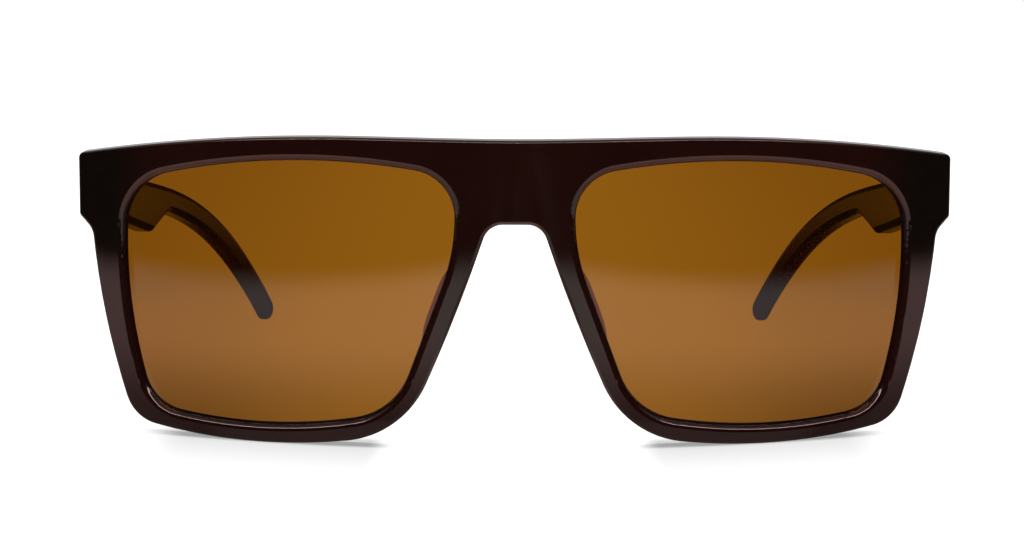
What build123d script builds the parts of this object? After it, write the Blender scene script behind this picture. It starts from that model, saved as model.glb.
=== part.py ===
from build123d import *
import math
import os

# Flat top sunglasses, millimetres, standing open on the rims and the temple tips.
# X is to the right as seen from the front, Y runs back along the temples, Z is up.
# Left and right are the wearer's, so the left temple is at +X.
# Everything is drawn with the bridge's front at Y 0 and moved to the middle at the end.

# Lens openings
lens_width = 54.85
lens_height = 43.4
lens_gap = 18.9
opening_corner_low_nose = 11.5
opening_corner_low_side = 7.5
opening_corner_top_side = 9.5
# Two radii of the nose side, as shares of the lens's height, so that they fit a lower lens
corner_top_nose_share = 0.175
nose_bend_round_share = 0.69

# Rims, brow and bridge
front_thickness = 4.2
wrap_radius = 140.0
rim_bottom = 2.95
rim_side = 6.1
rim_nose = 3.55
brow_height = 3.87
brow_flat_length = 56.0
brow_dip = 0.28
brow_drop = 3.95
bridge_height = 13.75
notch_width = 8.6
notch_corner = 3.3
rim_corner_low_side = 6.5
rim_corner_low_nose = 16.5
front_edge_round = 0.55
back_edge_round = 0.45
opening_edge_round = 1.05

# End pieces
lug_reach = 2.35
lug_height = 10.35
lug_corner_top = 1.0
lug_corner_low = 0.8
lug_root_round = 3.5
lug_return = 6.8
lug_return_drop = 1.0
lug_width = 5.9

# Lenses in their grooves
lens_thickness = 1.8
lens_setback = 1.7
groove_depth = 0.8
groove_clearance = 0.04

# Nose pads
pad_length = 15.0
pad_reach = 5.4
pad_thickness = 2.6
pad_edge_round = 1.0
pad_splay = 14.0

# Temples
temple_depth = 149.0
temple_thickness = 4.3
tip_thickness = 2.8
tip_inset = 16.5
temple_inset = 0.15
head_height = 9.35
head_length = 40.5
head_step_length = 14.5
head_step_round = 2.2
arm_notch_round = 9.0
arm_height = 4.6
temple_edge_round = 1.1
joint_gap = 0.05

# Hinges, five barrels each on one screw
barrel_radius = 1.3
barrel_height = 1.0
barrel_count = 5
barrel_gap = 0.04
leaf_thickness = 1.0
leaf_length = 7.0
leaf_clearance = 0.05
hinge_offset = 1.25
hinge_setback = 1.5
hinge_drop = 1.0
screw_radius = 0.66
screw_fit = 0.03
screw_head_radius = 1.1
screw_head_height = 0.7
screw_slot_width = 0.35
screw_slot_depth = 0.35
anchor_radius = 0.6
anchor_length = 2.0
anchor_spacing = 2.8

# Metal cores inside the temples
core_thickness = 1.0
core_height = 2.0
core_start = 12.0
core_end_margin = 12.0

# One overrun serves every cut, and edges are found to within a small distance
overrun = 5.0
touch = 0.01

# Places worked out from the sizes above
opening_nose_x = lens_gap / 2
opening_side_x = opening_nose_x + lens_width
opening_top_z = rim_bottom + lens_height
brow_z = opening_top_z + brow_height
half_width = opening_side_x + rim_side + lug_reach
lug_top_z = brow_z - brow_drop
lug_bottom_z = lug_top_z - lug_height
lug_return_z = lug_top_z - lug_return_drop
lug_inner_x = half_width - lug_width
temple_outer_x = half_width - temple_inset
temple_inner_x = temple_outer_x - temple_thickness


def surface_y(x, depth):
    """Depth of the wrapped face at x, for a face that lies depth behind the front one."""
    radius = wrap_radius - depth
    return wrap_radius - math.sqrt(radius**2 - x**2)


joint_y = surface_y(half_width, 0) + lug_return
pin_x = temple_inner_x - hinge_offset
pin_y = joint_y + hinge_setback
hinge_z = (lug_bottom_z + lug_return_z) / 2 - hinge_drop
hinge_height = barrel_height * barrel_count


def lens_point(width_share, height_share):
    """A point in the box round one lens opening."""
    return (opening_nose_x + width_share * lens_width, rim_bottom + height_share * lens_height)


def wrapped_sheet(front_depth, back_depth):
    """The curved sheet between two depths, tall and wide enough for the whole front."""
    axis = Plane.XY.offset(-overrun)
    reach = brow_z + 2 * overrun
    outer = extrude(axis * Pos(0, wrap_radius) * Circle(wrap_radius - front_depth), reach)
    inner = extrude(axis * Pos(0, wrap_radius) * Circle(wrap_radius - back_depth), reach)
    keep = Pos(0, 0, brow_z / 2) * Box(4 * half_width, 2 * joint_y, 4 * brow_z)
    return (outer - inner) & keep


def through(face):
    """Push a face drawn in the XZ plane straight back through the front."""
    return extrude(Plane.XZ.offset(overrun) * face, joint_y + 2 * overrun, dir=(0, 1, 0))


def rounded(face, corners):
    """Round the named corners of a face, one radius each."""
    for point, radius in corners:
        corner = face.vertices().sort_by_distance(Vector(*point, 0))[0]
        face = fillet(corner, radius)
    return face


nose_top_shares = (0.0, 0.94)
nose_bend_shares = (0.008, 0.65)
low_nose_shares = (0.18, 0.064)
low_side_shares = (0.918, 0.042)
top_side_shares = (0.987, 0.897)
bottom_shares = (0.589, 0.0)
side_shares = (1.0, 0.66)
crown_shares = (0.44, 1.0)


def widened(face, extra):
    """The face grown by extra all round, its outline drawn again as plain lines and arcs."""
    edges = []
    for edge in offset(face, extra, kind=Kind.ARC).edges():
        chord = Line(edge @ 0, edge @ 1)
        bulge = abs((edge @ 0.5) - (chord @ 0.5))
        if edge.geom_type == GeomType.LINE or bulge < touch:
            edges.append(chord)
        else:
            edges.append(ThreePointArc(edge @ 0, edge @ 0.5, edge @ 1))
    return make_face(Curve() + edges)


def opening_face(extra=0.0):
    """One lens opening, or the groove round it when extra is its depth."""
    nose_top = lens_point(*nose_top_shares)
    nose_bend = lens_point(*nose_bend_shares)
    low_nose = lens_point(*low_nose_shares)
    low_side = lens_point(*low_side_shares)
    top_side = lens_point(*top_side_shares)
    edges = [
        Line(nose_top, nose_bend),
        Line(nose_bend, low_nose),
        ThreePointArc(low_nose, lens_point(*bottom_shares), low_side),
        ThreePointArc(low_side, lens_point(*side_shares), top_side),
        ThreePointArc(top_side, lens_point(*crown_shares), nose_top),
    ]
    corners = [
        (nose_top, corner_top_nose_share * lens_height),
        (nose_bend, nose_bend_round_share * lens_height),
        (low_nose, opening_corner_low_nose),
        (low_side, opening_corner_low_side),
        (top_side, opening_corner_top_side),
    ]
    face = rounded(make_face(Curve() + edges), corners)
    if extra > 0:
        face = widened(face, extra)
    return face


# How far the rim's low corners and middles lie from the opening, as shares of the rim's width
low_side_rim_shares = (0.59, 0.8)
low_nose_rim_shares = (0.38, 1.1)
side_middle_shares = (0.98, 0.361)
nose_middle_shares = (0.0634, 0.4456)
side_middle_rim_share = 0.81


def half_outline():
    """The left half of the front's outline, seen from the front."""
    brow_end = (brow_flat_length / 2, brow_z)
    lug_top = (half_width, lug_top_z)
    lug_low = (half_width, lug_bottom_z)
    lug_root = (opening_side_x + rim_side, lug_bottom_z - lug_reach)
    low_side = Vector(*lens_point(*low_side_shares))
    low_nose = Vector(*lens_point(*low_nose_shares))
    side_share, below_share = low_side_rim_shares
    rim_low_side = low_side + Vector(side_share * rim_side, -below_share * rim_bottom)
    nose_share, below_share = low_nose_rim_shares
    rim_low_nose = low_nose - Vector(nose_share * rim_nose, below_share * rim_bottom)
    rim_bottom_point = lens_point(bottom_shares[0], -rim_bottom / lens_height)
    side_middle = Vector(*lens_point(*side_middle_shares)) + Vector(side_middle_rim_share * rim_side, 0)
    nose_middle = Vector(*lens_point(*nose_middle_shares)) - Vector(rim_nose, 0)
    notch_corner_point = (notch_width / 2, brow_z - bridge_height)
    brow_arc = TangentArc(brow_end, lug_top, tangent=(1, 0))
    edges = [
        Spline((0, brow_z - brow_dip), brow_end, tangents=[(1, 0), (1, 0)]),
        brow_arc,
        Line(lug_top, lug_low),
        Line(lug_low, lug_root),
        ThreePointArc(lug_root, side_middle, rim_low_side),
        ThreePointArc(rim_low_side, rim_bottom_point, rim_low_nose),
        ThreePointArc(rim_low_nose, nose_middle, notch_corner_point),
        Line(notch_corner_point, (0, brow_z - bridge_height)),
        Line((0, brow_z - bridge_height), (0, brow_z - brow_dip)),
    ]
    corners = [
        (lug_top, lug_corner_top),
        (lug_low, lug_corner_low),
        (lug_root, lug_root_round),
        (rim_low_side, rim_corner_low_side),
        (rim_low_nose, rim_corner_low_nose),
        (notch_corner_point, notch_corner),
    ]
    return rounded(make_face(Curve() + edges), corners)


def both_sides(part):
    """A piece and its mirror image, right and left of the nose."""
    return part + mirror(part, Plane.YZ)


def behind_sheet(depth):
    """The solid space behind the wrapped face that lies depth behind the front one."""
    return extrude(Plane.XY.offset(-overrun) * Pos(0, wrap_radius) * Circle(wrap_radius - depth), 2 * brow_z)


def lies_at(edge, depth):
    """True for an edge on the wrapped face that lies depth behind the front one."""
    middle = edge @ 0.5
    return abs(math.hypot(middle.X, middle.Y - wrap_radius) - (wrap_radius - depth)) < touch


def lug_block():
    """The end piece's return behind the sheet, which the temple butts against."""
    height = lug_return_z - lug_bottom_z
    window = Pos(half_width, lug_bottom_z + height / 2) * Rectangle(2 * lug_width, height)
    face = rounded(half_outline() & window, [((half_width, lug_return_z), lug_corner_top)])
    block = through(face)
    ahead = Pos(0, joint_y - wrap_radius) * Box(4 * half_width, 2 * wrap_radius, 4 * brow_z)
    return block & behind_sheet(lens_setback) & ahead


def leaf_anchors(x, y):
    """The two studs of a hinge leaf that are sunk into the acetate at x, outwards."""
    studs = [
        Pos(x, y, hinge_z + side * anchor_spacing / 2) * Rot(0, 90, 0)
        * Cylinder(anchor_radius, anchor_length, align=(Align.CENTER, Align.CENTER, Align.MIN))
        for side in (-1, 1)
    ]
    return studs[0] + studs[1]


front_leaf_start = surface_y(lug_inner_x, front_thickness) + leaf_clearance
front_anchor_y = (front_leaf_start + joint_y) / 2
temple_anchor_y = pin_y + leaf_length / 2


def opening_edges(plate, depth):
    """The lens openings' edges on the wrapped face that lies depth behind the front one."""
    near = opening_face(groove_depth)
    edges = []
    for edge in plate.edges():
        middle = edge @ 0.5
        if lies_at(edge, depth) and near.is_inside(Vector(abs(middle.X), middle.Z)):
            edges.append(edge)
    return edges


def frame_front():
    """The one milled piece: rims, brow, bridge, notch and both end pieces."""
    outline = half_outline()
    plate = through(outline + mirror(outline, Plane.YZ)) & wrapped_sheet(0, front_thickness)
    plate = fillet([edge for edge in plate.edges() if lies_at(edge, 0)], front_edge_round)
    plate += both_sides(lug_block())
    plate -= both_sides(through(opening_face()))
    plate = fillet(opening_edges(plate, 0), opening_edge_round)
    plate = fillet(opening_edges(plate, front_thickness), back_edge_round)
    groove = through(opening_face(groove_depth)) & wrapped_sheet(
        lens_setback - groove_clearance, lens_setback + lens_thickness + groove_clearance
    )
    plate -= both_sides(groove)
    plate -= both_sides(leaf_anchors(lug_inner_x, front_anchor_y))
    return plate


def lens():
    """A cylindrical lens, cut to the groove less its clearance."""
    face = opening_face(groove_depth - groove_clearance)
    return through(face) & wrapped_sheet(lens_setback, lens_setback + lens_thickness)


def nose_pad():
    """A bonded pad: an upright round-ended plate, splayed outwards as it goes back, with soft edges."""
    along = (Vector(*lens_point(*low_nose_shares)) - Vector(*lens_point(*nose_bend_shares))).normalized()
    run = Vector(along.X, 0, along.Y)
    outwards = Vector(-along.Y, 0, along.X)
    splay = math.radians(pad_splay)
    back = Vector(0, 1, 0) * math.cos(splay) + outwards * math.sin(splay)
    middle = Vector(*lens_point(*nose_middle_shares)) - Vector(rim_nose / 2, 0)
    seat = Vector(middle.X, surface_y(middle.X, front_thickness), middle.Y)
    plane = Plane(origin=seat, x_dir=run, z_dir=run.cross(back))
    pad = extrude(plane * SlotOverall(pad_length, 2 * pad_reach), pad_thickness / 2, both=True)
    pad = fillet(pad.edges(), pad_edge_round)
    return pad & behind_sheet(front_thickness)


temple_start = joint_y + joint_gap
arm_run = temple_depth - arm_height / 2 - temple_start
arm_start_z = lug_return_z - arm_height / 2
arm_drop = arm_start_z - arm_height / 2
arm_run_shares = (0.0, 0.268, 0.477, 0.606, 0.741, 0.868, 1.0)
arm_drop_shares = (0.0, 0.17, 0.27, 0.36, 0.5, 0.7, 1.0)


def arm_line():
    """The arm's middle line from the side, as Y and Z, from the joint to the middle of the tip."""
    places = [
        (temple_start + run * arm_run, arm_start_z - drop * arm_drop)
        for run, drop in zip(arm_run_shares, arm_drop_shares)
    ]
    return Spline(*places)


def beside(line, share, distance):
    """A point at right angles to the line, distance above it."""
    along = line % share
    return (line @ share) + Vector(-along.Y, along.X) * distance


def arm_edge(line, first_share, distance, steps=6):
    """The line's neighbour at a constant distance, from a share of its length to its end."""
    shares = [first_share + (1 - first_share) * step / steps for step in range(steps + 1)]
    points = [beside(line, share, distance) for share in shares]
    return Spline(*points, tangents=[line % first_share, line % 1])


def temple_profile():
    """The temple from the side: a tall head, a step on its underside, a slim arm and a round tip."""
    line = arm_line()
    top = arm_edge(line, 0, arm_height / 2)
    notch_share = (head_length + head_step_length) / line.length
    underside = arm_edge(line, notch_share, -arm_height / 2)
    tip = ThreePointArc(top @ 1, (line @ 1) + (line % 1) * (arm_height / 2), underside @ 1)
    head_top = top @ 0
    head_low = Vector(temple_start, head_top.Y - head_height)
    step_top = beside(line, head_length / line.length, arm_height / 2)
    step = Vector(temple_start + head_length, step_top.Y - head_height)
    face_top = Vector(temple_start, head_top.Y)
    edges = [
        Line(face_top, head_top),
        top,
        tip,
        underside,
        Line(underside @ 0, step),
        Line(step, head_low),
        Line(head_low, face_top),
    ]
    face = make_face(Curve() + [edge for edge in edges if edge.length > touch])
    return rounded(face, [(step, head_step_round), (underside @ 0, arm_notch_round)])


def plan_band(start_inner, start_outer, end_inner, end_outer):
    """The temple from above: two arcs that bow inwards from the joint to past the tip."""
    run = temple_depth - temple_start
    past = (run + overrun) / run
    far = temple_depth + overrun
    far_inner = start_inner - (start_inner - end_inner) * past**2
    far_outer = start_outer - (start_outer - end_outer) * past**2
    inner = TangentArc((start_inner, temple_start), (far_inner, far), tangent=(0, 1))
    outer = TangentArc((start_outer, temple_start), (far_outer, far), tangent=(0, 1))
    edges = [
        inner,
        Line(inner @ 1, outer @ 1),
        outer,
        Line(outer @ 0, inner @ 0),
    ]
    return extrude(Plane.XY.offset(-overrun) * make_face(Curve() + edges), 2 * brow_z, dir=(0, 0, 1))


def sideways(face):
    """Push a face drawn as Y and Z across the width of one temple."""
    return extrude(Plane.YZ * face, 2 * half_width, dir=(1, 0, 0))


def core_wire():
    """The flat metal core that stiffens one temple."""
    line = arm_line()
    first = core_start / line.length
    last = 1 - core_end_margin / line.length
    steps = 6
    shares = [first + (last - first) * step / steps for step in range(steps + 1)]
    upper = Spline(*[beside(line, share, core_height / 2) for share in shares])
    lower = Spline(*[beside(line, share, -core_height / 2) for share in shares])
    edges = [upper, Line(upper @ 1, lower @ 1), lower, Line(lower @ 0, upper @ 0)]
    start_side = (temple_thickness - core_thickness) / 2
    end_side = (tip_thickness - core_thickness) / 2
    band = plan_band(
        temple_inner_x + start_side,
        temple_outer_x - start_side,
        temple_inner_x - tip_inset + end_side,
        temple_inner_x - tip_inset + tip_thickness - end_side,
    )
    return sideways(make_face(Curve() + edges)) & band


def temple():
    """One milled arm with its rounded edges, the seat of its hinge leaf and the room for its core."""
    band = plan_band(
        temple_inner_x,
        temple_outer_x,
        temple_inner_x - tip_inset,
        temple_inner_x - tip_inset + tip_thickness,
    )
    arm = sideways(temple_profile()) & band
    behind_joint = [edge for edge in arm.edges() if (edge @ 0.5).Y > temple_start + touch]
    arm = fillet([edge for edge in behind_joint if edge.length > temple_thickness], temple_edge_round)
    seat_length = pin_y - temple_start + leaf_length + leaf_clearance
    seat_height = hinge_height + 2 * leaf_clearance
    seat = Pos(temple_inner_x + leaf_thickness, temple_start + seat_length, hinge_z) * Box(
        2 * leaf_thickness + overrun,
        2 * seat_length,
        seat_height,
        align=(Align.MAX, Align.MAX, Align.CENTER),
    )
    arm -= seat
    arm -= leaf_anchors(temple_inner_x + leaf_thickness, temple_anchor_y)
    arm -= core_wire()
    return arm


def barrel(index):
    """One of the hinge's barrels, counted from below."""
    low = hinge_z - hinge_height / 2 + index * barrel_height + barrel_gap / 2
    return Pos(pin_x, pin_y, low) * Cylinder(
        barrel_radius, barrel_height - barrel_gap, align=(Align.CENTER, Align.CENTER, Align.MIN)
    )


def barrel_slab(index, low_x, high_x, low_y, high_y):
    """A block as tall as one barrel, to tie that barrel to its leaf."""
    low = hinge_z - hinge_height / 2 + index * barrel_height + barrel_gap / 2
    return Pos(low_x, low_y, low) * Box(
        high_x - low_x, high_y - low_y, barrel_height - barrel_gap, align=Align.MIN
    )


def screw_bore():
    return Pos(pin_x, pin_y, hinge_z) * Cylinder(screw_radius + screw_fit, hinge_height + 2 * overrun)


def hinge_front():
    """The front leaf: three barrels, a plate on the end piece's inner side and two sunk studs."""
    leaf = Pos(lug_inner_x - leaf_thickness, front_leaf_start, hinge_z) * Box(
        leaf_thickness,
        joint_y - front_leaf_start,
        hinge_height - barrel_gap,
        align=(Align.MIN, Align.MIN, Align.CENTER),
    )
    for index in range(0, barrel_count, 2):
        leaf += barrel(index)
        leaf += barrel_slab(index, lug_inner_x - leaf_thickness, lug_inner_x, joint_y, pin_y)
    leaf += leaf_anchors(lug_inner_x, front_anchor_y)
    return leaf - screw_bore()


def hinge_temple():
    """The temple leaf: two barrels, a plate let into the temple's inner side and two sunk studs."""
    plate_low_y = pin_y + barrel_radius
    leaf = Pos(temple_inner_x, plate_low_y, hinge_z) * Box(
        leaf_thickness,
        pin_y + leaf_length - plate_low_y,
        hinge_height - barrel_gap,
        align=(Align.MIN, Align.MIN, Align.CENTER),
    )
    for index in range(1, barrel_count, 2):
        leaf += barrel(index)
        leaf += barrel_slab(index, pin_x, temple_inner_x + leaf_thickness, pin_y, plate_low_y)
    leaf += leaf_anchors(temple_inner_x + leaf_thickness, temple_anchor_y)
    return leaf - screw_bore()


def hinge_screw():
    """The screw that the barrels turn on, with its slotted head on the top barrel."""
    top = hinge_z + hinge_height / 2 - barrel_gap / 2
    shank = Pos(pin_x, pin_y, top) * Cylinder(
        screw_radius, hinge_height - barrel_gap, align=(Align.CENTER, Align.CENTER, Align.MAX)
    )
    head = Pos(pin_x, pin_y, top) * Cylinder(
        screw_head_radius, screw_head_height, align=(Align.CENTER, Align.CENTER, Align.MIN)
    )
    slot = Pos(pin_x, pin_y, top + screw_head_height) * Box(
        3 * screw_head_radius, screw_slot_width, 2 * screw_slot_depth
    )
    return shank + head - slot


def write(name, part):
    """Move a finished piece so that the whole object stands round the origin, and write it."""
    export_step(Pos(0, -temple_depth / 2) * part, f"parts/{name}.step")


if __name__ == "__main__":
    os.makedirs("parts", exist_ok=True)
    write("frame_front", frame_front())
    pairs = {
        "lens": lens,
        "nose_pad": nose_pad,
        "hinge_front": hinge_front,
        "hinge_temple": hinge_temple,
        "hinge_screw": hinge_screw,
        "temple": temple,
        "core_wire": core_wire,
    }
    for name, make in pairs.items():
        part = make()
        write(f"{name}_left", part)
        write(f"{name}_right", mirror(part, Plane.YZ))
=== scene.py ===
# %% [markdown]
# # A pair of flat top sunglasses, dressed for its photograph
#
# The pair stands open on a white table, seen from just above and in front. The front and both
# temples are cut from dark brown acetate sheet and polished in a barrel, the lenses are amber
# brown nylon, and the hinges are small steel ones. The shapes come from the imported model, so this
# lesson is about finish and light: how a nearly black glossy thing is told apart from a flat
# black cut-out only by what it reflects.
#
# We start by loading the model. Every piece arrives at its real size in metres, already in place.

import math

import bpy
from mathutils import Euler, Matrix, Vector


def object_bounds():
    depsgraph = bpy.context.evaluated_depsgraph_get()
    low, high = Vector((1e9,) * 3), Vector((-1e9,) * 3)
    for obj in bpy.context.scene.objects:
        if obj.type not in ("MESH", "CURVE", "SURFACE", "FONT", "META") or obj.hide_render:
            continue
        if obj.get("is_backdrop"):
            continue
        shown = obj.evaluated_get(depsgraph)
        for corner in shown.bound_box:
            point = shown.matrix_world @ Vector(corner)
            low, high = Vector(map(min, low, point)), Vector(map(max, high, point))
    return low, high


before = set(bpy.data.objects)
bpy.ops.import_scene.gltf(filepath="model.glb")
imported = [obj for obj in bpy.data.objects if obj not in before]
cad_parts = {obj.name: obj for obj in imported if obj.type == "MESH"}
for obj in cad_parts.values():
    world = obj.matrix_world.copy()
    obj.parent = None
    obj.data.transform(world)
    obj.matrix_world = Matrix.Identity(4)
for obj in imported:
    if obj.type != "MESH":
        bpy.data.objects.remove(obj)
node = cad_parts
cad_low, cad_high = (Vector(corner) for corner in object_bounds())
mm = 0.001
print("nodes:", ", ".join(sorted(node)))

# %% [markdown]
# ## Helpers
#
# Colours are picked on screen as sRGB hex values, but the renderer adds light in linear values,
# so one function converts them. Materials are made of nodes; one function adds a node, gives it
# its settings and plugs in its links. The others build on it: most of this lesson's masks are
# soft steps along a height, a distance or a direction, multiplied together.

# %% Colour and node helpers
def linear(hex_code):
    """An sRGB hex value as linear red, green, blue and alpha."""
    values = [int(hex_code[start:start + 2], 16) / 255 for start in (1, 3, 5)]
    return tuple(v / 12.92 if v <= 0.04045 else ((v + 0.055) / 1.055) ** 2.4 for v in values) + (1.0,)


def add(tree, kind, links=(), inputs=(), **settings):
    """Add a node: settings are its own properties, inputs its fixed values, links what feeds it."""
    made = tree.nodes.new(kind)
    for name, value in settings.items():
        setattr(made, name, value)
    for socket, value in dict(inputs).items():
        made.inputs[socket].default_value = value
    for socket, source in dict(links).items():
        tree.links.new(source, made.inputs[socket])
    return made


def split(sources):
    """The sources that come from other nodes, and the plain numbers."""
    fixed = {slot: source for slot, source in sources.items() if isinstance(source, (int, float))}
    return {slot: source for slot, source in sources.items() if slot not in fixed}, fixed


def changed(tree, operation, source):
    """One number changed, such as into its size without its sign."""
    return add(tree, "ShaderNodeMath", {0: source}, operation=operation).outputs[0]


def joined(tree, operation, first, *others):
    """One number made from several, taken in turn: their sum, product, larger one and so on."""
    result = first
    for other in others:
        links, fixed = split({0: result, 1: other})
        result = add(tree, "ShaderNodeMath", links, fixed, operation=operation).outputs[0]
    return result


def smooth_step(tree, source, span, start, end):
    """A soft change from start to end while the source crosses the span."""
    low, high = span
    return add(tree, "ShaderNodeMapRange", {"Value": source},
               {"From Min": low, "From Max": high, "To Min": start, "To Max": end},
               interpolation_type="SMOOTHSTEP").outputs["Result"]


def between(tree, factor, start, end):
    """A number between two, each one plain or from another node."""
    return add(tree, "ShaderNodeMix", *split({"Factor": factor, "A": start, "B": end})).outputs["Result"]


def blended(tree, factor, start, end):
    """A colour between two, each one a hex value or from another node."""
    mix = add(tree, "ShaderNodeMix", {"Factor": factor}, data_type="RGBA")
    for slot, colour in (("A", start), ("B", end)):
        if isinstance(colour, str):
            mix.inputs[slot].default_value = linear(colour)
        else:
            tree.links.new(colour, mix.inputs[slot])
    return mix.outputs["Result"]


def noise(tree, place, size, detail):
    """A soft random pattern with features of one size."""
    return add(tree, "ShaderNodeTexNoise", {"Vector": place},
               {"Scale": 1 / size, "Detail": detail}).outputs["Fac"]


def drifting(tree, source, low, high):
    """A value that follows a pattern between two levels."""
    return add(tree, "ShaderNodeMapRange", {"Value": source},
               {"To Min": low, "To Max": high}).outputs["Result"]


def new_material(name):
    """An empty node material and its output."""
    material = bpy.data.materials.new(name)
    material.use_nodes = True
    material.node_tree.nodes.clear()
    return material, material.node_tree, add(material.node_tree, "ShaderNodeOutputMaterial")


def dress(material, *names):
    """Give a material to whole CAD nodes."""
    for name in names:
        piece = node[name]
        piece.data.materials.clear()
        piece.data.materials.append(material)
    print(material.name, "on", ", ".join(names))


both = ("left", "right")
white = (1, 1, 1, 1)
print("helpers ready")

# %% [markdown]
# ## Cellulose acetate, tumbled and buffed
#
# The front and temples are cut from sheet acetate, a plant-based plastic. After milling, the
# pieces tumble for days with wooden chips and polishing paste, then a cloth wheel buffs them.
# That leaves a deep gloss with very soft waves, no sharp tool marks and a faint haze of fine
# scratches. The colour is a brown so dark that only its thin edges look brown; inside the
# sheet two batches of brown flow into each other, which we draw as broad, low contrast clouds.
#
# A few small things keep it from looking like black plastic, and all of them are painted light
# or shade. The edges that face down into the openings are painted warmer, a painted light that
# stands in for the light from the table shining into the thin lip there, and the thin ends of the
# temples get the same painted light. The two ends of the front are painted darker and a little
# less red than its middle, a painted shade where they mirror the dark room. The reflections carry
# a warm painted tint that is paler on the legs beside the nose, so those legs mirror less red. At
# the outer side of each opening the edge that faces the middle mirrors less, because its gloss is
# turned down there: a painted shade on its reflection. And the lens mirrors the lip beside it,
# which is given a faint painted glow, an emission standing in for light from the table below, so
# mirrored rays find the low part of the acetate lit.

# %% Values of the acetate
cloud_size, cloud_detail = 14 * mm, 3.0
scratch_spacing, scratch_detail = 0.5 * mm, 4.0
wave_spacing, wave_detail = 9 * mm, 1.0
wave_height = 0.02 * mm
wave_strength = 0.35
rough_drift = (0.9, 1.1)
acetate_ior = 1.6
full_gloss = 0.5

# painted shade: the two upper ends of the front are painted darker and less red, standing in for the dark
# room they mirror
painted_ends_shade_colour = "#130d09"
ends_aside = (56 * mm, 68 * mm)
ends_height = (22 * mm, 34 * mm)
# painted light: the low, thin ends of the temples are painted lighter and warmer, standing in for light
# shining into the tips
painted_tip_light_colour = "#3c2017"
painted_tip_light_height = (14 * mm, 30 * mm)
# painted light: lips that face down into the openings are painted warmer, standing in for table light
# shining into them
painted_lip_light_colour = "#4a2b21"
lip_facing_down = (-0.35, -0.05)
lip_facing_aside = (0.75, 0.9)
lip_height = (8 * mm, 20 * mm)

# painted reflection colour: the acetate's reflections are tinted warm, paler beside the nose, though
# polished acetate mirrors neutral
painted_reflection_tint = "#ffd7d3"
nose_painted_reflection_tint = "#d4d4ca"
nose_aside = (9 * mm, 18 * mm)
inner_facing_out = (-0.45, -0.10)
inner_facing_up = (0.15, 0.35)
inner_aside = (20 * mm, 30 * mm)

# painted light: a glow of the low acetate, seen only by mirrored rays
painted_lip_glow = 0.62
glow_top = (22 * mm, 28 * mm)
glow_foot = (3 * mm, 8 * mm)
glow_aside = (40 * mm, 50 * mm)
print("clouds of", round(cloud_size / mm), "mm and waves of", round(wave_spacing / mm), "mm")

# %% Dark brown acetate
def edge_masks(tree, facing, apart, aside):
    """Where a lip facing down gets painted light, and where the side of an opening gets a painted shade on
    its reflection.
    """
    sideways = changed(tree, "ABSOLUTE", facing["X"])
    outwards = joined(tree, "MULTIPLY", facing["X"], changed(tree, "SIGN", apart["X"]))
    painted_inner_shade = joined(tree, "MULTIPLY",
                   smooth_step(tree, outwards, inner_facing_out, 1.0, 0.0),
                   smooth_step(tree, facing["Z"], inner_facing_up, 1.0, 0.0),
                   smooth_step(tree, aside, inner_aside, 0.0, 1.0))
    painted_lip_light = joined(tree, "MULTIPLY",
                 smooth_step(tree, facing["Z"], lip_facing_down, 1.0, 0.0),
                 smooth_step(tree, sideways, lip_facing_aside, 1.0, 0.0),
                 smooth_step(tree, apart["Z"], lip_height, 0.0, 1.0),
                 joined(tree, "SUBTRACT", 1.0, painted_inner_shade))
    return painted_lip_light, painted_inner_shade


def painted_glow_from_below(tree, apart, aside):
    """The painted glow of the low acetate, an emission that only mirrored rays see."""
    level = joined(tree, "MULTIPLY",
                   smooth_step(tree, apart["Z"], glow_top, painted_lip_glow, 0.0),
                   smooth_step(tree, apart["Z"], glow_foot, 0.0, 1.0),
                   smooth_step(tree, aside, glow_aside, 0.0, 1.0))
    return add(tree, "ShaderNodeEmission", {"Strength": level}).outputs["Emission"]


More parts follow.
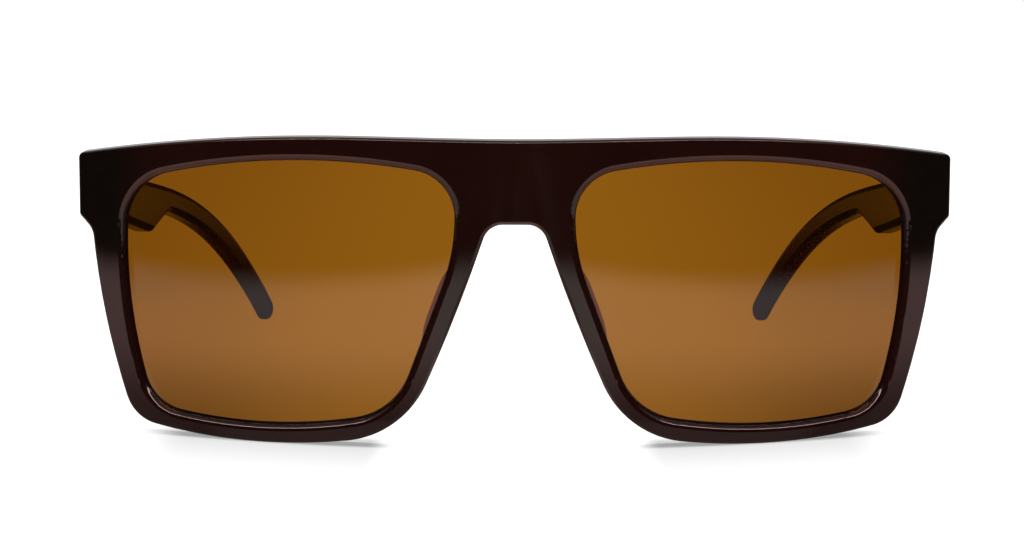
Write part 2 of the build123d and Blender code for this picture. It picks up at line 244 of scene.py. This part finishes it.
def polished_acetate(name, deep, warm, roughness, inner_painted_reflection_shade, painted_tip_light_share):
    """Acetate whose dark colour drifts towards a warmer one, under a polished skin."""
    material, tree, output = new_material(name)
    path = add(tree, "ShaderNodeLightPath").outputs
    spot = add(tree, "ShaderNodeTexCoord").outputs
    place = spot["Object"]
    apart = add(tree, "ShaderNodeSeparateXYZ", {"Vector": place}).outputs
    facing = add(tree, "ShaderNodeSeparateXYZ", {"Vector": spot["Normal"]}).outputs
    aside = changed(tree, "ABSOLUTE", apart["X"])
    painted_lip_light, painted_inner_shade = edge_masks(tree, facing, apart, aside)

    # painted shade on the upper ends of the front
    painted_ends_shade = joined(tree, "MULTIPLY", smooth_step(tree, aside, ends_aside, 0.0, 1.0),
                  smooth_step(tree, apart["Z"], ends_height, 0.0, 1.0))
    # painted light on the temple tips, stronger lower down
    painted_tip_light = smooth_step(tree, apart["Z"], painted_tip_light_height, painted_tip_light_share, 0.0)
    colour = blended(tree, noise(tree, place, cloud_size, cloud_detail), deep, warm)
    colour = blended(tree, painted_ends_shade, colour, painted_ends_shade_colour)
    colour = blended(tree, painted_tip_light, colour, painted_tip_light_colour)
    # painted light: the warmer colour on lips that face down
    colour = blended(tree, painted_lip_light, colour, painted_lip_light_colour)

    low, high = (roughness * drift for drift in rough_drift)
    rough = drifting(tree, noise(tree, place, scratch_spacing, scratch_detail), low, high)
    waves = noise(tree, place, wave_spacing, wave_detail)
    bump = add(tree, "ShaderNodeBump", {"Height": waves},
               {"Distance": wave_height, "Strength": wave_strength})
    # painted shade: the gloss is turned down on the inner side of each opening's outer edge
    gloss_less_painted_shade = joined(tree, "SUBTRACT", full_gloss, joined(tree, "MULTIPLY", painted_inner_shade, inner_painted_reflection_shade))
    tint = blended(tree, smooth_step(tree, aside, nose_aside, 0.0, 1.0), nose_painted_reflection_tint, painted_reflection_tint)
    skin = add(tree, "ShaderNodeBsdfPrincipled",
               {"Base Color": colour, "Roughness": rough, "Specular IOR Level": gloss_less_painted_shade,
                "Specular Tint": tint, "Normal": bump.outputs["Normal"]}, {"IOR": acetate_ior})

    # mirrored rays see the painted glow in place of the acetate's skin
    mirrored = joined(tree, "SUBTRACT", path["Is Glossy Ray"], path["Is Transmission Ray"])
    look = add(tree, "ShaderNodeMixShader",
               {0: mirrored, 1: skin.outputs["BSDF"], 2: painted_glow_from_below(tree, apart, aside)})
    tree.links.new(look.outputs[0], output.inputs["Surface"])
    return material


front_acetate = polished_acetate("cellulose_acetate_buffed_front", deep="#1f0a08", warm="#2c130f",
                                 roughness=0.045, inner_painted_reflection_shade=0.42, painted_tip_light_share=0.0)
temple_acetate = polished_acetate("cellulose_acetate_buffed_temple", deep="#1f0a08", warm="#2e140e",
                                  roughness=0.14, inner_painted_reflection_shade=0.0, painted_tip_light_share=1.0)
dress(front_acetate, "frame_front")
dress(temple_acetate, *[f"temple_{side}" for side in both])

# %% [markdown]
# ## Nose pads of crystal acetate
#
# The pads are bonded to the back of the rims before polishing. They are a clearer brown acetate
# that lets some light in. Through the lens only their lit edges show, as a warm sliver beside
# each rim, so rays that have passed the lens meet a lighter, warmer colour: a painted light that
# stands in for those lit edges.

# %% Nose pad acetate
pad_colour = "#86593c"
# painted light: the lighter, warmer colour that rays through a lens meet on the pads
pad_painted_light_colour = "#e08f58"
pad_detail = 3.0
pad_roughness = (0.16, 0.3)
pad_ior = 1.48
pad_gloss = 0.2
pad_clearness = 0.35
pad_light_reach = (1.2, 0.7, 0.4)


def crystal_acetate(name):
    """Clearer acetate with a satin skin, in which red light travels furthest."""
    material, tree, output = new_material(name)
    path = add(tree, "ShaderNodeLightPath").outputs
    place = add(tree, "ShaderNodeTexCoord").outputs["Object"]
    rough = drifting(tree, noise(tree, place, scratch_spacing, pad_detail), *pad_roughness)
    # painted light: pads seen through a lens are painted lighter and warmer
    painted_light_behind_lens = smooth_step(tree, path["Transmission Depth"], (0, 1), 0.0, 1.0)
    colour = blended(tree, painted_light_behind_lens, pad_colour, pad_painted_light_colour)
    body = add(tree, "ShaderNodeBsdfPrincipled", {"Base Color": colour, "Roughness": rough},
               {"IOR": pad_ior, "Specular IOR Level": pad_gloss, "Subsurface Weight": pad_clearness,
                "Subsurface Radius": pad_light_reach, "Subsurface Scale": 1 * mm})
    tree.links.new(body.outputs["BSDF"], output.inputs["Surface"])
    return material


pad_acetate = crystal_acetate("crystal_acetate_buffed_pads")
dress(pad_acetate, *[f"nose_pad_{side}" for side in both])

# %% [markdown]
# ## Amber lenses of tinted nylon
#
# A sun lens is a thin curved sheet that is coloured all through, so the colour belongs in the
# volume: light loses more blue than red on each millimetre of its way. Both faces stay clear
# and glossy. The tint is set from how much light should pass: about a third of the red, a tenth
# of the green and almost no blue through the whole thickness.

# %% Lens material
lens_thickness = 1.8 * mm
lens_ior = 1.5
passes_through = (0.300, 0.114, 0.0068)
passes_faces = 0.92
edge_facing = 0.5
edge_colour = "#1a0c04"
edge_roughness = 0.7


def tinted_nylon(name):
    """Clear glossy faces round a volume that takes blue first, and a matt ground edge."""
    material, tree, output = new_material(name)
    loss = [-math.log(share / passes_faces) / lens_thickness for share in passes_through]
    density = max(loss)
    faces = add(tree, "ShaderNodeBsdfPrincipled", (),
                {"Base Color": white, "Transmission Weight": 1.0, "Roughness": 0.0, "IOR": lens_ior})
    tint = add(tree, "ShaderNodeVolumeAbsorption", (),
               {"Color": tuple(1 - value / density for value in loss) + (1.0,), "Density": density})
    spot = add(tree, "ShaderNodeTexCoord").outputs
    facing = add(tree, "ShaderNodeSeparateXYZ", {"Vector": spot["Normal"]}).outputs
    edge = joined(tree, "LESS_THAN", changed(tree, "ABSOLUTE", facing["Y"]), edge_facing)
    ground = add(tree, "ShaderNodeBsdfPrincipled", (),
                 {"Base Color": linear(edge_colour), "Roughness": edge_roughness})
    whole = add(tree, "ShaderNodeMixShader",
                {0: edge, 1: faces.outputs["BSDF"], 2: ground.outputs["BSDF"]})
    tree.links.new(whole.outputs[0], output.inputs["Surface"])
    tree.links.new(tint.outputs["Volume"], output.inputs["Volume"])
    print("lens density per metre:", round(density), "loss:", [round(value) for value in loss])
    return material


lens_nylon = tinted_nylon("amber_nylon_cast_lens")
dress(lens_nylon, *[f"lens_{side}" for side in both])

# %% [markdown]
# ## Steel hinges, screws and cores
#
# The hinge leaves are stamped and milled from steel, the screws are turned on a lathe, and the
# cores are drawn flat wire. All three are bare metal: a metallic shader with a pale colour, and
# a roughness whose grain runs the way the tool went.

# %% Steel
grain_spacing, grain_detail = 0.12 * mm, 2.0
steel_drift = (0.7, 1.4)


def bare_metal(name, hex_code, roughness, grain_stretch):
    """Bare metal with fine grain drawn out by the tool."""
    material, tree, output = new_material(name)
    place = add(tree, "ShaderNodeTexCoord").outputs["Object"]
    drawn = add(tree, "ShaderNodeMapping", {"Vector": place}, {"Scale": grain_stretch})
    grain = noise(tree, drawn.outputs["Vector"], grain_spacing, grain_detail)
    low, high = (roughness * drift for drift in steel_drift)
    rough = drifting(tree, grain, low, high)
    metal = add(tree, "ShaderNodeBsdfPrincipled", {"Roughness": rough},
                {"Base Color": linear(hex_code), "Metallic": 1.0})
    tree.links.new(metal.outputs["BSDF"], output.inputs["Surface"])
    return material


hinge_steel = bare_metal("stainless_steel_milled_hinge", "#b9b4ac",
                         roughness=0.28, grain_stretch=(1, 1, 0.15))
screw_steel = bare_metal("stainless_steel_turned_screw", "#c4c0ba",
                         roughness=0.2, grain_stretch=(1, 1, 0.3))
core_steel = bare_metal("nickel_silver_drawn_core", "#a9a394",
                        roughness=0.3, grain_stretch=(1, 0.1, 1))
dress(hinge_steel, *[f"hinge_{part}_{side}" for part in ("front", "temple") for side in both])
dress(screw_steel, *[f"hinge_screw_{side}" for side in both])
dress(core_steel, *[f"core_wire_{side}" for side in both])

# %% [markdown]
# ## The table and its lit pool
#
# The photograph's ground is pure white, but the lenses tell more: about half way up, what they
# show changes. Below that line they mirror and show a lit table, above it the darker room. The
# line's height gives the reach of the lit pool: about 270 mm straight ahead, and to the sides
# its edge runs back in a slant. Close to the glasses the table is dimmer again, because they
# stand in their own light.
#
# One large disc does it all. Its paint is matt white and catches a faint shadow just in front
# of each rim, which a dip in its glow deepens into a partly painted shadow. What polished faces
# mirror and what the lenses show are two more looks of the same disc, each a painted pool of light
# and painted shade, drawn with masks: soft steps over the distance aside (from the middle plane),
# the depth (from front to back) and the reach (the distance as a share of the pool's). A ray that
# is mirrored and also passes a lens comes from the lens's narrow seat, where little light gets
# in, so it finds the table much dimmer, and this dimming is painted too.

# %% Values of the table
paint = "#e2e2e2"
seen_paint = "#989898"
paint_roughness = 0.9
ground_reach = 3.0
pool_reach = 0.269
pool_slant = 0.67
pool_edge = (0.84, 1.12)

# The shadow in front of the rims, which stand on an arc of this radius: there the glow dips, a painted
# shadow added to the rendered one
wrap_radius = 140 * mm
front_glow = 0.70
shadow_band_glow = 0.34
contact_start = (-9 * mm, -5 * mm)
contact_end = (-1.5 * mm, 1 * mm)
contact_behind = (-50 * mm, -40 * mm)
open_nose = (19 * mm, 24 * mm)
open_sides = (54 * mm, 64 * mm)
open_behind = (24 * mm, 50 * mm)

# What polished faces mirror ahead of the glasses: a painted reflection of a lit pool and its shade
mirrored_level = 0.72
near_shade, near_fade = 0.12, (0.05, 0.59)
foot_shade, foot_fade = 0.38, (0.13, 0.19)
nose_gap = (6 * mm, 18 * mm)
middle_share, middle_fade = 1.2, (40 * mm, 100 * mm)
room_level = 0.012
room_shape_level = 0.06
room_shape_size = (30 * mm, 500 * mm)
room_shape_detail = 2.0
room_shape_steps = (0.45, 0.65)
room_shape_aside = (45 * mm, 75 * mm)

# What they mirror beside and behind the glasses, painted as well
turn_over = (cad_low.y + 12 * mm, cad_low.y + 30 * mm)
behind_level = (0.06, 0.5)
behind_depth = (cad_high.y + 40 * mm, cad_high.y + 240 * mm)
beside_level, beside_fade = 0.4, (90 * mm, 130 * mm)
head_level, head_depth = 0.45, (5 * mm, 24 * mm)
outside_aside = (60 * mm, 80 * mm)
outside_depth = (50 * mm, 90 * mm)

# What the lenses show: a painted pool of light and painted shade
pool_level, pool_aside = (1.04, 0.90), (40 * mm, 68 * mm)
under_level, under_aside = (0.80, 0.55), (22 * mm, 55 * mm)
away_depth = (-60 * mm, 50 * mm)
far_level, far_aside = (0.88, 0.74), (20 * mm, 110 * mm)
far_edge = (0.76, 1.0)
seat_share = 0.12
print("lit pool in mm:", round(pool_reach / mm), "ahead and", round(pool_reach / pool_slant / mm), "aside")

# %% The table's three looks
def seen_paper(tree, path, place, depth, aside):
    """What the camera sees: white, with the shadow kept only just in front of each rim, deepened there by
    a painted shadow band.
    """
    centred = add(tree, "ShaderNodeMapping", {"Vector": place},
                  {"Location": (0, -(cad_low.y + wrap_radius), 0), "Scale": (1, 1, 0)})
    from_axis = add(tree, "ShaderNodeVectorMath", {0: centred.outputs["Vector"]}, operation="LENGTH")
    before = joined(tree, "SUBTRACT", from_axis.outputs["Value"], wrap_radius)
    painted_shadow_band = joined(tree, "MAXIMUM",
                     smooth_step(tree, before, contact_start, front_glow, shadow_band_glow),
                     smooth_step(tree, before, contact_end, shadow_band_glow, front_glow),
                     smooth_step(tree, depth, contact_behind, 0.0, front_glow))
    open_floor = joined(tree, "MAXIMUM",
                        smooth_step(tree, aside, open_nose, 1.0, 0.0),
                        smooth_step(tree, aside, open_sides, 0.0, 1.0),
                        smooth_step(tree, before, open_behind, 0.0, 1.0))
    glow = joined(tree, "MULTIPLY", path["Is Camera Ray"], between(tree, open_floor, painted_shadow_band, 1.0))
    tone = blended(tree, path["Is Camera Ray"], paint, seen_paint)
    paper = add(tree, "ShaderNodeBsdfPrincipled", {"Emission Strength": glow, "Base Color": tone},
                {"Roughness": paint_roughness, "Specular IOR Level": 0.0, "Emission Color": white})
    return paper.outputs["BSDF"]


def painted_room_ahead(tree, place, aside):
    """A painted reflection of the dark room beyond the pool, with faint painted upright shapes that only
    the bridge mirrors.
    """
    width, height = room_shape_size
    upright = add(tree, "ShaderNodeMapping", {"Vector": place}, {"Scale": (1 / width, 1 / height, 0)})
    shapes = noise(tree, upright.outputs["Vector"], 1.0, room_shape_detail)
    shapes = joined(tree, "MULTIPLY",
                    smooth_step(tree, shapes, room_shape_steps, 0.0, room_shape_level),
                    smooth_step(tree, aside, room_shape_aside, 1.0, 0.0))
    return joined(tree, "ADD", shapes, room_level)


def painted_mirrored_table(tree, place, reach, depth, aside):
    """What polished faces mirror, all painted: a painted pool of light ahead, painted shade on the table
    close by, and a painted pale sweep behind.
    """
    shade = joined(tree, "MAXIMUM",
                   smooth_step(tree, reach, near_fade, near_shade, 1.0),
                   smooth_step(tree, reach, foot_fade, foot_shade, 0.0),
                   smooth_step(tree, aside, nose_gap, 1.0, 0.0))
    lit = joined(tree, "MULTIPLY", shade,
                 smooth_step(tree, reach, pool_edge, 1.0, 0.0),
                 smooth_step(tree, aside, middle_fade, middle_share, 1.0),
                 mirrored_level)
    ahead = joined(tree, "MAXIMUM", lit, painted_room_ahead(tree, place, aside))
    outside = joined(tree, "MULTIPLY", smooth_step(tree, aside, outside_aside, 0.0, head_level),
                     smooth_step(tree, depth, outside_depth, 0.0, 1.0))
    behind = joined(tree, "MAXIMUM", outside,
                    smooth_step(tree, depth, behind_depth, *behind_level),
                    smooth_step(tree, aside, beside_fade, 0.0, beside_level),
                    smooth_step(tree, depth, head_depth, head_level, 0.0))
    level = between(tree, smooth_step(tree, depth, turn_over, 0.0, 1.0), ahead, behind)
    return add(tree, "ShaderNodeEmission", {"Strength": level}).outputs["Emission"]


def painted_table_through_lens(tree, path, reach, depth, aside):
    """What the lenses show, painted: bright in the pool, dimmer beyond it, with painted shade at the sides
    and close under.
    """
    under = smooth_step(tree, aside, under_aside, *under_level)
    shaded = between(tree, smooth_step(tree, depth, away_depth, 0.0, 1.0), under, 1.0)
    near = joined(tree, "MULTIPLY", smooth_step(tree, aside, pool_aside, *pool_level), shaded)
    far = smooth_step(tree, aside, far_aside, *far_level)
    level = between(tree, smooth_step(tree, reach, far_edge, 0.0, 1.0), near, far)
    straight = smooth_step(tree, path["Glossy Depth"], (0, 1), 1.0, seat_share)
    level = joined(tree, "MULTIPLY", level, straight)
    return add(tree, "ShaderNodeEmission", {"Strength": level}).outputs["Emission"]


print("looks of the table: painted, mirrored and through the lenses")

# %% Floor
def white_table(name):
    """Matt white paint for the camera, and a painted pool of light and shade for mirrored and see-through
    rays.
    """
    material, tree, output = new_material(name)
    path = add(tree, "ShaderNodeLightPath").outputs
    place = add(tree, "ShaderNodeTexCoord").outputs["Object"]
    apart = add(tree, "ShaderNodeSeparateXYZ", {"Vector": place}).outputs
    depth = apart["Y"]
    aside = changed(tree, "ABSOLUTE", apart["X"])
    ahead = changed(tree, "ABSOLUTE", joined(tree, "SUBTRACT", depth, cad_low.y))
    slanted = joined(tree, "ADD", joined(tree, "MULTIPLY", aside, pool_slant), ahead)
    reach = joined(tree, "DIVIDE", slanted, pool_reach)
    look = add(tree, "ShaderNodeMixShader",
               {0: path["Is Glossy Ray"], 1: seen_paper(tree, path, place, depth, aside),
                2: painted_mirrored_table(tree, place, reach, depth, aside)})
    look = add(tree, "ShaderNodeMixShader",
               {0: path["Is Transmission Ray"], 1: look.outputs[0],
                2: painted_table_through_lens(tree, path, reach, depth, aside)})
    tree.links.new(look.outputs[0], output.inputs["Surface"])
    return material


def ground_disc(name, reach, steps=96):
    """A round sheet on the table's height."""
    turns = [2 * math.pi * step / steps for step in range(steps)]
    rim = [(reach * math.cos(turn), reach * math.sin(turn), 0) for turn in turns]
    mesh = bpy.data.meshes.new(name)
    mesh.from_pydata(rim, [], [tuple(range(steps))])
    piece = bpy.data.objects.new(name, mesh)
    bpy.context.scene.collection.objects.link(piece)
    piece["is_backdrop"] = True
    return piece


table = ground_disc("table", ground_reach)
table.data.materials.append(white_table("matt_white_table"))
print(table.name, "reaches", ground_reach, "m and wears", table.data.materials[0].name)

# %% [markdown]
# ## Light
#
# The photograph has soft, even light with no hard highlight on its flat faces: a broad softbox
# overhead, which keeps the shadow tight under the rims. The world gives the even part. It is
# white where the camera sees it. For mirrored rays it is dark low down in front, where the room
# is, and pale behind, where the white sweep rises. Half way up in front it holds one bright
# strip, the edge of the softbox: only rounded edges that face up and forward mirror it, and it
# draws the thin light lines along the brow and along the lower lip of each opening. Rays that
# come from the narrow seat of a lens find the world dimmer, as they do the table.

# %% World and softbox
even_level = 0.42
ceiling_level, ceiling_height = 0.4, (0.45, 0.7)
sweep_level, sweep_depth = 0.5, (0.3, 0.8)
strip_level = 10.0
strip_low, strip_high = (0.65, 0.68), (0.73, 0.76)
strip_depth = (-0.45, -0.25)
inside_share = 0.15
softbox_place = (0.0, 0.1, 0.8)
softbox_aim = (0, -0.05, 0)
softbox_size = (0.5, 0.4)
softbox_watts = 6.3


def studio_world():
    """Even light, white for the camera, with a dark room, a pale sweep and a strip to mirror."""
    world = bpy.data.worlds.new("studio")
    world.use_nodes = True
    tree = world.node_tree
    tree.nodes.clear()
    path = add(tree, "ShaderNodeLightPath").outputs
    spot = add(tree, "ShaderNodeTexCoord").outputs
    way = add(tree, "ShaderNodeSeparateXYZ", {"Vector": spot["Generated"]}).outputs
    strip = joined(tree, "MULTIPLY",
                   smooth_step(tree, way["Z"], strip_low, 0.0, strip_level),
                   smooth_step(tree, way["Z"], strip_high, 1.0, 0.0),
                   smooth_step(tree, way["Y"], strip_depth, 1.0, 0.0))
    mirrored = joined(tree, "MAXIMUM", strip,
                      smooth_step(tree, way["Z"], ceiling_height, room_level, ceiling_level),
                      smooth_step(tree, way["Y"], sweep_depth, room_level, sweep_level))
    outside = smooth_step(tree, path["Transmission Depth"], (0, 1), 1.0, inside_share)
    mirrored = joined(tree, "MULTIPLY", mirrored, outside)
    level = between(tree, path["Is Glossy Ray"], even_level, mirrored)
    level = between(tree, path["Is Camera Ray"], level, 1.0)
    beyond = far_level[1]
    passed = smooth_step(tree, path["Glossy Depth"], (0, 1), beyond, beyond * seat_share)
    level = between(tree, path["Is Transmission Ray"], level, passed)
    glow = add(tree, "ShaderNodeBackground", {"Strength": level}, {"Color": white})
    add(tree, "ShaderNodeOutputWorld", {"Surface": glow.outputs["Background"]})
    bpy.context.scene.world = world


def softbox(name, place, aim, size, watts):
    """A rectangular area lamp that looks at a point."""
    data = bpy.data.lights.new(name, "AREA")
    data.shape = "RECTANGLE"
    data.size, data.size_y = size
    data.energy = watts
    lamp = bpy.data.objects.new(name, data)
    lamp.location = place
    lamp.rotation_euler = (Vector(aim) - Vector(place)).to_track_quat("-Z", "Y").to_euler()
    lamp.visible_glossy = False
    bpy.context.scene.collection.objects.link(lamp)


studio_world()
softbox("softbox_overhead", softbox_place, softbox_aim, softbox_size, softbox_watts)
print("even light:", even_level, "sweep behind:", sweep_level, "softbox in watts:", softbox_watts)

# %% [markdown]
# ## Camera
#
# The camera's place was worked out by fitting known points of the frame to their places in the
# photograph. It stands 412 mm in front of the bridge and 81 mm above the table, about a
# millimetre off the middle, and looks down by 7.1 degrees, rolled by 0.15 degrees. A long lens
# keeps the wrap of the front from looking bulged.

# %% Camera
image_width = 1024
focal_pixels = 2600
sensor = 36.0
clip_start = 10 * mm
camera_ahead = 412.3 * mm
camera_height = 81.2 * mm
camera_aside = -1.2 * mm
tilt_down = math.radians(7.10)
roll = math.radians(-0.15)
centre_pixel_x = 515.8

camera_data = bpy.data.cameras.new("camera")
camera_data.sensor_width = sensor
camera_data.lens = focal_pixels / image_width * sensor
camera_data.clip_start = clip_start
camera = bpy.data.objects.new("camera", camera_data)
camera.location = (camera_aside, cad_low.y - camera_ahead, camera_height)
to_middle = math.atan2(-camera_aside, camera_ahead)
off_centre = math.atan2(centre_pixel_x - image_width / 2, focal_pixels)
turn = to_middle - off_centre
camera.rotation_euler = Euler((math.pi / 2 - tilt_down, roll, -turn))
bpy.context.scene.collection.objects.link(camera)
bpy.context.scene.camera = camera
print("focal length in mm:", round(camera_data.lens, 1), "turned by:", round(math.degrees(turn), 2))

# %% [markdown]
# ## Finish
#
# The view transform is plain sRGB, so colours render as they are written.

# %% View transform
bpy.context.scene.view_settings.view_transform = "Standard"
print("view transform:", bpy.context.scene.view_settings.view_transform)
